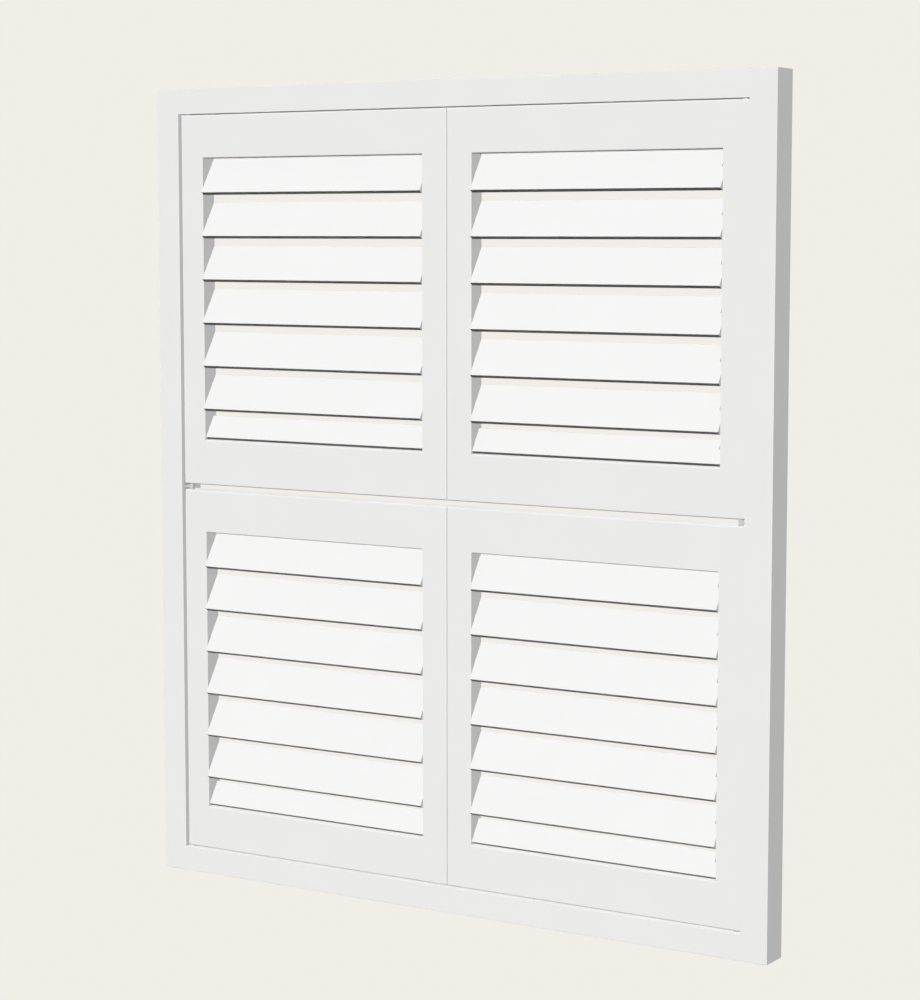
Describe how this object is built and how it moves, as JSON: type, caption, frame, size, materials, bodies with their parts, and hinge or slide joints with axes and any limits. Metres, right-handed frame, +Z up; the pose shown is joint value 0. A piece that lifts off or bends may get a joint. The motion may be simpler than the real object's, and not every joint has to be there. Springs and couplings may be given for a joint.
{
  "type": "louvred shutters",
  "caption": "White louvred window shutters: two tiers of paired panels with tilting slats, swinging on hidden pivots in a mitred timber frame.",
  "frame": {"origin": "bottom centre of the frame, at the middle of its depth", "axes": "+X to the right seen from the room, +Y from the room towards the wall, +Z up"},
  "size_m": [1.27, 0.0564, 1.475],
  "materials": {
    "frame_paint": "satin white paint on timber",
    "panel_paint": "satin white paint on timber",
    "louvre_paint": "satin white paint on timber",
    "bracket_grey": "grey powder coat on steel",
    "washer_nylon": "grey nylon",
    "pin_steel": "turned steel",
    "bush_nylon": "natural nylon",
    "catch_plastic": "white moulded plastic",
    "bar_aluminium": "satin anodised"
  },
  "bodies": {
    "frame": {"frame_head": "frame_paint", "frame_sill": "frame_paint", "jamb_left": "frame_paint", "jamb_right": "frame_paint", "pivot_brackets": "bracket_grey", "pivot_pins": "pin_steel", "pivot_washers": "washer_nylon", "magnetic_catches": "catch_plastic"},
    "lower_left_panel": {"lower_left_hinge_stile": "panel_paint", "lower_left_meeting_stile": "panel_paint", "lower_left_top_rail": "panel_paint", "lower_left_bottom_rail": "panel_paint", "lower_left_pivot_bushes": "bush_nylon"},
    "lower_left_louvre_1": {"lower_left_louvre_1": "louvre_paint"},
    "lower_left_louvre_2": {"lower_left_louvre_2": "louvre_paint"},
    "lower_left_louvre_3": {"lower_left_louvre_3": "louvre_paint"},
    "lower_left_louvre_4": {"lower_left_louvre_4": "louvre_paint"},
    "lower_left_louvre_5": {"lower_left_louvre_5": "louvre_paint"},
    "lower_left_louvre_6": {"lower_left_louvre_6": "louvre_paint"},
    "lower_left_louvre_7": {"lower_left_louvre_7": "louvre_paint"},
    "lower_left_tilt_bar": {"lower_left_tilt_bar": "bar_aluminium"},
    "lower_right_panel": {"lower_right_hinge_stile": "panel_paint", "lower_right_meeting_stile": "panel_paint", "lower_right_top_rail": "panel_paint", "lower_right_bottom_rail": "panel_paint", "lower_right_pivot_bushes": "bush_nylon"},
    "lower_right_louvre_1": {"lower_right_louvre_1": "louvre_paint"},
    "lower_right_louvre_2": {"lower_right_louvre_2": "louvre_paint"},
    "lower_right_louvre_3": {"lower_right_louvre_3": "louvre_paint"},
    "lower_right_louvre_4": {"lower_right_louvre_4": "louvre_paint"},
    "lower_right_louvre_5": {"lower_right_louvre_5": "louvre_paint"},
    "lower_right_louvre_6": {"lower_right_louvre_6": "louvre_paint"},
    "lower_right_louvre_7": {"lower_right_louvre_7": "louvre_paint"},
    "lower_right_tilt_bar": {"lower_right_tilt_bar": "bar_aluminium"},
    "upper_left_panel": {"upper_left_hinge_stile": "panel_paint", "upper_left_meeting_stile": "panel_paint", "upper_left_top_rail": "panel_paint", "upper_left_bottom_rail": "panel_paint", "upper_left_pivot_bushes": "bush_nylon"},
    "upper_left_louvre_1": {"upper_left_louvre_1": "louvre_paint"},
    "upper_left_louvre_2": {"upper_left_louvre_2": "louvre_paint"},
    "upper_left_louvre_3": {"upper_left_louvre_3": "louvre_paint"},
    "upper_left_louvre_4": {"upper_left_louvre_4": "louvre_paint"},
    "upper_left_louvre_5": {"upper_left_louvre_5": "louvre_paint"},
    "upper_left_louvre_6": {"upper_left_louvre_6": "louvre_paint"},
    "upper_left_louvre_7": {"upper_left_louvre_7": "louvre_paint"},
    "upper_left_tilt_bar": {"upper_left_tilt_bar": "bar_aluminium"},
    "upper_right_panel": {"upper_right_hinge_stile": "panel_paint", "upper_right_meeting_stile": "panel_paint", "upper_right_top_rail": "panel_paint", "upper_right_bottom_rail": "panel_paint", "upper_right_pivot_bushes": "bush_nylon"},
    "upper_right_louvre_1": {"upper_right_louvre_1": "louvre_paint"},
    "upper_right_louvre_2": {"upper_right_louvre_2": "louvre_paint"},
    "upper_right_louvre_3": {"upper_right_louvre_3": "louvre_paint"},
    "upper_right_louvre_4": {"upper_right_louvre_4": "louvre_paint"},
    "upper_right_louvre_5": {"upper_right_louvre_5": "louvre_paint"},
    "upper_right_louvre_6": {"upper_right_louvre_6": "louvre_paint"},
    "upper_right_louvre_7": {"upper_right_louvre_7": "louvre_paint"},
    "upper_right_tilt_bar": {"upper_right_tilt_bar": "bar_aluminium"}
  },
  "joints": [
    {"name": "lower_left_swing", "type": "hinge", "parent": "frame", "child": "lower_left_panel", "pos_m": [-0.5723, -0.01525, 0.38825], "axis": [0, 0, -1], "range_deg": [0, 105]},
    {"name": "lower_left_louvre_1_tilt", "type": "hinge", "parent": "lower_left_panel", "child": "lower_left_louvre_1", "pos_m": [-0.2931, -0.00375, 0.61583], "axis": [-1, 0, 0], "range_deg": [0, 116]},
    {"name": "lower_left_louvre_2_tilt", "type": "hinge", "parent": "lower_left_panel", "child": "lower_left_louvre_2", "pos_m": [-0.2931, -0.00375, 0.53573], "axis": [-1, 0, 0], "range_deg": [0, 116]},
    {"name": "lower_left_louvre_3_tilt", "type": "hinge", "parent": "lower_left_panel", "child": "lower_left_louvre_3", "pos_m": [-0.2931, -0.00375, 0.45562], "axis": [-1, 0, 0], "range_deg": [0, 116]},
    {"name": "lower_left_louvre_4_tilt", "type": "hinge", "parent": "lower_left_panel", "child": "lower_left_louvre_4", "pos_m": [-0.2931, -0.00375, 0.37552], "axis": [-1, 0, 0], "range_deg": [0, 116]},
    {"name": "lower_left_louvre_5_tilt", "type": "hinge", "parent": "lower_left_panel", "child": "lower_left_louvre_5", "pos_m": [-0.2931, -0.00375, 0.29542], "axis": [-1, 0, 0], "range_deg": [0, 116]},
    {"name": "lower_left_louvre_6_tilt", "type": "hinge", "parent": "lower_left_panel", "child": "lower_left_louvre_6", "pos_m": [-0.2931, -0.00375, 0.21532], "axis": [-1, 0, 0], "range_deg": [0, 116]},
    {"name": "lower_left_louvre_7_tilt", "type": "hinge", "parent": "lower_left_panel", "child": "lower_left_louvre_7", "pos_m": [-0.2931, -0.00375, 0.15022], "axis": [-1, 0, 0], "range_deg": [0, 116]},
    {"name": "lower_left_tilt_bar_link", "type": "hinge", "parent": "lower_left_louvre_1", "child": "lower_left_tilt_bar", "pos_m": [-0.0587, 0.00579, 0.63109], "axis": [-1, 0, 0], "range_deg": [-116, 0]},
    {"name": "lower_right_swing", "type": "hinge", "parent": "frame", "child": "lower_right_panel", "pos_m": [0.5723, -0.01525, 0.38825], "axis": [0, 0, 1], "range_deg": [0, 105]},
    {"name": "lower_right_louvre_1_tilt", "type": "hinge", "parent": "lower_right_panel", "child": "lower_right_louvre_1", "pos_m": [0.2931, -0.00375, 0.61583], "axis": [-1, 0, 0], "range_deg": [0, 116]},
    {"name": "lower_right_louvre_2_tilt", "type": "hinge", "parent": "lower_right_panel", "child": "lower_right_louvre_2", "pos_m": [0.2931, -0.00375, 0.53573], "axis": [-1, 0, 0], "range_deg": [0, 116]},
    {"name": "lower_right_louvre_3_tilt", "type": "hinge", "parent": "lower_right_panel", "child": "lower_right_louvre_3", "pos_m": [0.2931, -0.00375, 0.45562], "axis": [-1, 0, 0], "range_deg": [0, 116]},
    {"name": "lower_right_louvre_4_tilt", "type": "hinge", "parent": "lower_right_panel", "child": "lower_right_louvre_4", "pos_m": [0.2931, -0.00375, 0.37552], "axis": [-1, 0, 0], "range_deg": [0, 116]},
    {"name": "lower_right_louvre_5_tilt", "type": "hinge", "parent": "lower_right_panel", "child": "lower_right_louvre_5", "pos_m": [0.2931, -0.00375, 0.29542], "axis": [-1, 0, 0], "range_deg": [0, 116]},
    {"name": "lower_right_louvre_6_tilt", "type": "hinge", "parent": "lower_right_panel", "child": "lower_right_louvre_6", "pos_m": [0.2931, -0.00375, 0.21532], "axis": [-1, 0, 0], "range_deg": [0, 116]},
    {"name": "lower_right_louvre_7_tilt", "type": "hinge", "parent": "lower_right_panel", "child": "lower_right_louvre_7", "pos_m": [0.2931, -0.00375, 0.15022], "axis": [-1, 0, 0], "range_deg": [0, 116]},
    {"name": "lower_right_tilt_bar_link", "type": "hinge", "parent": "lower_right_louvre_1", "child": "lower_right_tilt_bar", "pos_m": [0.5275, 0.00579, 0.63109], "axis": [-1, 0, 0], "range_deg": [-116, 0]},
    {"name": "upper_left_swing", "type": "hinge", "parent": "frame", "child": "upper_left_panel", "pos_m": [-0.5723, -0.01525, 1.0835], "axis": [0, 0, -1], "range_deg": [0, 105]},
    {"name": "upper_left_louvre_1_tilt", "type": "hinge", "parent": "upper_left_panel", "child": "upper_left_louvre_1", "pos_m": [-0.2931, -0.00375, 1.31283], "axis": [-1, 0, 0], "range_deg": [0, 116]},
    {"name": "upper_left_louvre_2_tilt", "type": "hinge", "parent": "upper_left_panel", "child": "upper_left_louvre_2", "pos_m": [-0.2931, -0.00375, 1.23273], "axis": [-1, 0, 0], "range_deg": [0, 116]},
    {"name": "upper_left_louvre_3_tilt", "type": "hinge", "parent": "upper_left_panel", "child": "upper_left_louvre_3", "pos_m": [-0.2931, -0.00375, 1.15262], "axis": [-1, 0, 0], "range_deg": [0, 116]},
    {"name": "upper_left_louvre_4_tilt", "type": "hinge", "parent": "upper_left_panel", "child": "upper_left_louvre_4", "pos_m": [-0.2931, -0.00375, 1.07252], "axis": [-1, 0, 0], "range_deg": [0, 116]},
    {"name": "upper_left_louvre_5_tilt", "type": "hinge", "parent": "upper_left_panel", "child": "upper_left_louvre_5", "pos_m": [-0.2931, -0.00375, 0.99242], "axis": [-1, 0, 0], "range_deg": [0, 116]},
    {"name": "upper_left_louvre_6_tilt", "type": "hinge", "parent": "upper_left_panel", "child": "upper_left_louvre_6", "pos_m": [-0.2931, -0.00375, 0.91232], "axis": [-1, 0, 0], "range_deg": [0, 116]},
    {"name": "upper_left_louvre_7_tilt", "type": "hinge", "parent": "upper_left_panel", "child": "upper_left_louvre_7", "pos_m": [-0.2931, -0.00375, 0.84722], "axis": [-1, 0, 0], "range_deg": [0, 116]},
    {"name": "upper_left_tilt_bar_link", "type": "hinge", "parent": "upper_left_louvre_1", "child": "upper_left_tilt_bar", "pos_m": [-0.0587, 0.00579, 1.32809], "axis": [-1, 0, 0], "range_deg": [-116, 0]},
    {"name": "upper_right_swing", "type": "hinge", "parent": "frame", "child": "upper_right_panel", "pos_m": [0.5723, -0.01525, 1.0835], "axis": [0, 0, 1], "range_deg": [0, 105]},
    {"name": "upper_right_louvre_1_tilt", "type": "hinge", "parent": "upper_right_panel", "child": "upper_right_louvre_1", "pos_m": [0.2931, -0.00375, 1.31283], "axis": [-1, 0, 0], "range_deg": [0, 116]},
    {"name": "upper_right_louvre_2_tilt", "type": "hinge", "parent": "upper_right_panel", "child": "upper_right_louvre_2", "pos_m": [0.2931, -0.00375, 1.23273], "axis": [-1, 0, 0], "range_deg": [0, 116]},
    {"name": "upper_right_louvre_3_tilt", "type": "hinge", "parent": "upper_right_panel", "child": "upper_right_louvre_3", "pos_m": [0.2931, -0.00375, 1.15262], "axis": [-1, 0, 0], "range_deg": [0, 116]},
    {"name": "upper_right_louvre_4_tilt", "type": "hinge", "parent": "upper_right_panel", "child": "upper_right_louvre_4", "pos_m": [0.2931, -0.00375, 1.07252], "axis": [-1, 0, 0], "range_deg": [0, 116]},
    {"name": "upper_right_louvre_5_tilt", "type": "hinge", "parent": "upper_right_panel", "child": "upper_right_louvre_5", "pos_m": [0.2931, -0.00375, 0.99242], "axis": [-1, 0, 0], "range_deg": [0, 116]},
    {"name": "upper_right_louvre_6_tilt", "type": "hinge", "parent": "upper_right_panel", "child": "upper_right_louvre_6", "pos_m": [0.2931, -0.00375, 0.91232], "axis": [-1, 0, 0], "range_deg": [0, 116]},
    {"name": "upper_right_louvre_7_tilt", "type": "hinge", "parent": "upper_right_panel", "child": "upper_right_louvre_7", "pos_m": [0.2931, -0.00375, 0.84722], "axis": [-1, 0, 0], "range_deg": [0, 116]},
    {"name": "upper_right_tilt_bar_link", "type": "hinge", "parent": "upper_right_louvre_1", "child": "upper_right_tilt_bar", "pos_m": [0.5275, 0.00579, 1.32809], "axis": [-1, 0, 0], "range_deg": [-116, 0]}
  ],
  "couplings": [
    {"joint": "lower_left_louvre_2_tilt", "follows": "lower_left_louvre_1_tilt", "ratio": 1},
    {"joint": "lower_left_louvre_3_tilt", "follows": "lower_left_louvre_1_tilt", "ratio": 1},
    {"joint": "lower_left_louvre_4_tilt", "follows": "lower_left_louvre_1_tilt", "ratio": 1},
    {"joint": "lower_left_louvre_5_tilt", "follows": "lower_left_louvre_1_tilt", "ratio": 1},
    {"joint": "lower_left_louvre_6_tilt", "follows": "lower_left_louvre_1_tilt", "ratio": 1},
    {"joint": "lower_left_louvre_7_tilt", "follows": "lower_left_louvre_1_tilt", "ratio": 1},
    {"joint": "lower_left_tilt_bar_link", "follows": "lower_left_louvre_1_tilt", "ratio": -1},
    {"joint": "lower_right_louvre_2_tilt", "follows": "lower_right_louvre_1_tilt", "ratio": 1},
    {"joint": "lower_right_louvre_3_tilt", "follows": "lower_right_louvre_1_tilt", "ratio": 1},
    {"joint": "lower_right_louvre_4_tilt", "follows": "lower_right_louvre_1_tilt", "ratio": 1},
    {"joint": "lower_right_louvre_5_tilt", "follows": "lower_right_louvre_1_tilt", "ratio": 1},
    {"joint": "lower_right_louvre_6_tilt", "follows": "lower_right_louvre_1_tilt", "ratio": 1},
    {"joint": "lower_right_louvre_7_tilt", "follows": "lower_right_louvre_1_tilt", "ratio": 1},
    {"joint": "lower_right_tilt_bar_link", "follows": "lower_right_louvre_1_tilt", "ratio": -1},
    {"joint": "upper_left_louvre_2_tilt", "follows": "upper_left_louvre_1_tilt", "ratio": 1},
    {"joint": "upper_left_louvre_3_tilt", "follows": "upper_left_louvre_1_tilt", "ratio": 1},
    {"joint": "upper_left_louvre_4_tilt", "follows": "upper_left_louvre_1_tilt", "ratio": 1},
    {"joint": "upper_left_louvre_5_tilt", "follows": "upper_left_louvre_1_tilt", "ratio": 1},
    {"joint": "upper_left_louvre_6_tilt", "follows": "upper_left_louvre_1_tilt", "ratio": 1},
    {"joint": "upper_left_louvre_7_tilt", "follows": "upper_left_louvre_1_tilt", "ratio": 1},
    {"joint": "upper_left_tilt_bar_link", "follows": "upper_left_louvre_1_tilt", "ratio": -1},
    {"joint": "upper_right_louvre_2_tilt", "follows": "upper_right_louvre_1_tilt", "ratio": 1},
    {"joint": "upper_right_louvre_3_tilt", "follows": "upper_right_louvre_1_tilt", "ratio": 1},
    {"joint": "upper_right_louvre_4_tilt", "follows": "upper_right_louvre_1_tilt", "ratio": 1},
    {"joint": "upper_right_louvre_5_tilt", "follows": "upper_right_louvre_1_tilt", "ratio": 1},
    {"joint": "upper_right_louvre_6_tilt", "follows": "upper_right_louvre_1_tilt", "ratio": 1},
    {"joint": "upper_right_louvre_7_tilt", "follows": "upper_right_louvre_1_tilt", "ratio": 1},
    {"joint": "upper_right_tilt_bar_link", "follows": "upper_right_louvre_1_tilt", "ratio": -1}
  ]
}
